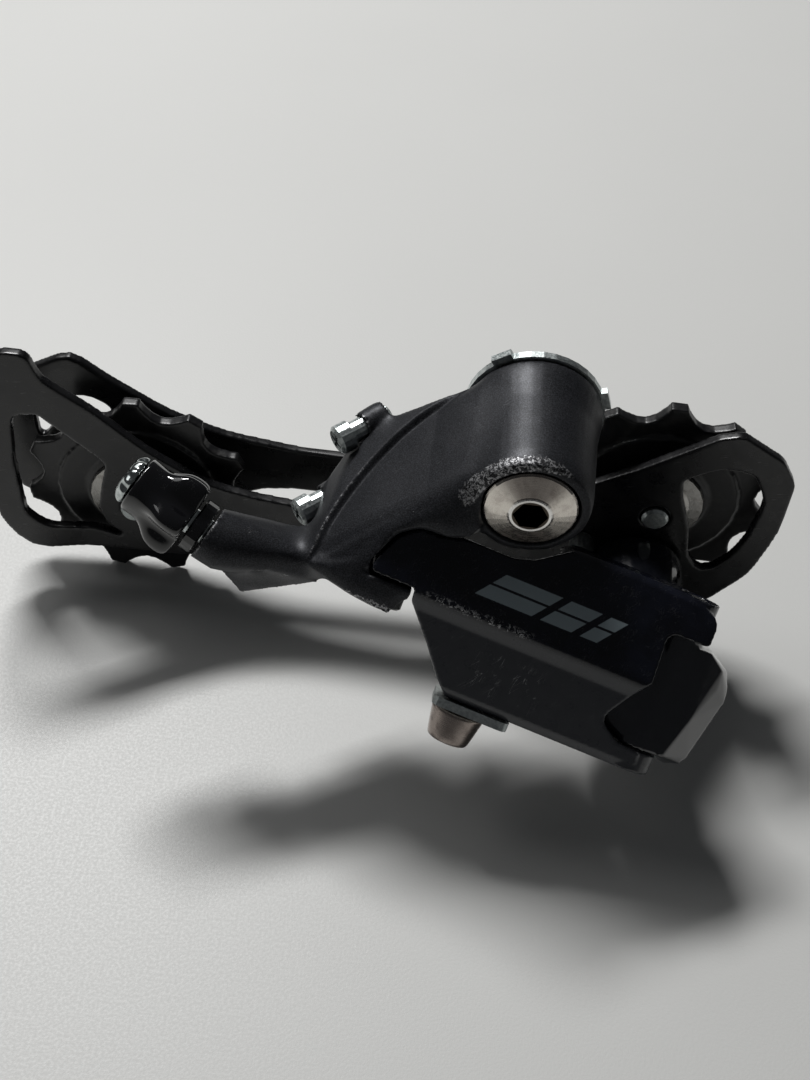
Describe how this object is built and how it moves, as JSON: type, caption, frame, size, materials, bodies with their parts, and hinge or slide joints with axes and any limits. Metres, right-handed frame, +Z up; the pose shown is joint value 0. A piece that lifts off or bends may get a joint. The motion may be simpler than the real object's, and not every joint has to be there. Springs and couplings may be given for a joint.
{
  "type": "rear bicycle derailleur",
  "caption": "Long-cage rear bicycle derailleur in black and dark grey, with a spring-loaded parallelogram, two toothed pulleys, a cable barrel adjuster and stop screws.",
  "frame": {"origin": "where the mounting bolt axis meets the outer face of the frame hanger", "axes": "+X forward on the bike, +Y inboard along the mounting bolt, +Z up"},
  "size_m": [0.1461, 0.063, 0.07],
  "materials": {
    "cast": "satin",
    "link": "gloss",
    "plate": "satin",
    "zinc": "zinc plated",
    "nickel": "brushed nickel",
    "spring": "satin",
    "resin": "matte",
    "gloss": "gloss",
    "polymer": "matte",
    "rubber": "matte"
  },
  "bodies": {
    "mount": {"hanger_stop_plate": "zinc", "mounting_bush": "polymer"},
    "mounting_bolt": {"mounting_bolt": "nickel"},
    "bracket": {"bracket_body": "cast", "mounting_spring": "spring", "mounting_seal": "rubber", "bracket_outer_pin": "spring", "bracket_inner_pin": "spring", "barrel_detent_sleeve": "gloss"},
    "limit_screw_high": {"limit_screw_high": "zinc"},
    "limit_screw_low": {"limit_screw_low": "zinc"},
    "body_angle_screw": {"body_angle_screw": "zinc"},
    "barrel_adjuster": {"barrel_bolt": "zinc", "barrel_knob": "gloss"},
    "outer_link": {"outer_link": "link", "cable_clamp_plate": "zinc"},
    "cable_fixing_bolt": {"cable_fixing_bolt": "nickel"},
    "inner_link": {"inner_link": "cast"},
    "knuckle": {"knuckle_body": "cast", "knuckle_outer_pin": "spring", "knuckle_inner_pin": "spring", "cage_spring": "spring"},
    "cage": {"cage_outer_plate": "plate", "cage_inner_plate": "plate", "cage_axle": "zinc", "cage_stop_pin": "zinc", "guide_pulley_bush": "zinc", "guide_pulley_bolt": "zinc", "guide_pulley_cap_outer": "nickel", "guide_pulley_cap_inner": "nickel", "tension_pulley_bush": "zinc", "tension_pulley_bolt": "zinc", "tension_pulley_cap_outer": "nickel", "tension_pulley_cap_inner": "nickel"},
    "guide_pulley": {"guide_pulley": "resin"},
    "tension_pulley": {"tension_pulley": "resin"}
  },
  "joints": [
    {"name": "mounting_bolt_turn", "type": "hinge", "parent": "mount", "child": "mounting_bolt", "pos_m": [0, -0.012, 0], "axis": [0, 1, 0], "continuous": true},
    {"name": "body_swing", "type": "hinge", "parent": "mount", "child": "bracket", "pos_m": [0, -0.012, 0], "axis": [0, -1, 0], "range_deg": [0, 30], "stiffness_Nm_per_rad": 0.4, "springref_deg": -57.3},
    {"name": "limit_screw_high_turn", "type": "hinge", "parent": "bracket", "child": "limit_screw_high", "pos_m": [-0.0298, -0.006, -0.0049], "axis": [-0.7797, -0.5998, -0.1799], "continuous": true},
    {"name": "limit_screw_low_turn", "type": "hinge", "parent": "bracket", "child": "limit_screw_low", "pos_m": [-0.0354, -0.0112, -0.0181], "axis": [-0.7797, -0.5998, -0.1799], "continuous": true},
    {"name": "body_angle_screw_turn", "type": "hinge", "parent": "bracket", "child": "body_angle_screw", "pos_m": [-0.01005, -0.0029, -0.01419], "axis": [0.342, 0, -0.9397], "continuous": true},
    {"name": "barrel_turn", "type": "hinge", "parent": "bracket", "child": "barrel_adjuster", "pos_m": [-0.0528, -0.024, -0.0146], "axis": [-0.8657, 0.2679, 0.4229], "continuous": true},
    {"name": "outer_link_swing", "type": "hinge", "parent": "bracket", "child": "outer_link", "pos_m": [-0.02, -0.027, -0.0193], "axis": [0.2706, 0.6014, 0.7517], "range_deg": [0, 55], "stiffness_Nm_per_rad": 0.4, "springref_deg": -68.75},
    {"name": "inner_link_swing", "type": "hinge", "parent": "bracket", "child": "inner_link", "pos_m": [-0.02544, -0.01693, -0.0254], "axis": [0.2706, 0.6014, 0.7517], "range_deg": [0, 55]},
    {"name": "knuckle_swing", "type": "hinge", "parent": "outer_link", "child": "knuckle", "pos_m": [0.02523, -0.03603, -0.02835], "axis": [0.2706, 0.6014, 0.7517], "range_deg": [-55, 0]},
    {"name": "cable_bolt_turn", "type": "hinge", "parent": "outer_link", "child": "cable_fixing_bolt", "pos_m": [-0.00681, -0.03876, -0.03459], "axis": [0.2706, 0.6014, 0.7517], "continuous": true},
    {"name": "cage_swing", "type": "hinge", "parent": "knuckle", "child": "cage", "pos_m": [0.0235, -0.01, -0.037], "axis": [0, -1, 0], "range_deg": [0, 150], "stiffness_Nm_per_rad": 0.15, "springref_deg": -68.75},
    {"name": "guide_pulley_spin", "type": "hinge", "parent": "cage", "child": "guide_pulley", "pos_m": [0.0253, 0.0065, -0.0234], "axis": [0, -1, 0], "continuous": true},
    {"name": "tension_pulley_spin", "type": "hinge", "parent": "cage", "child": "tension_pulley", "pos_m": [-0.0707, 0.0065, -0.0367], "axis": [0, -1, 0], "continuous": true}
  ],
  "couplings": [
    {"joint": "inner_link_swing", "follows": "outer_link_swing", "ratio": 1},
    {"joint": "knuckle_swing", "follows": "outer_link_swing", "ratio": -1}
  ]
}
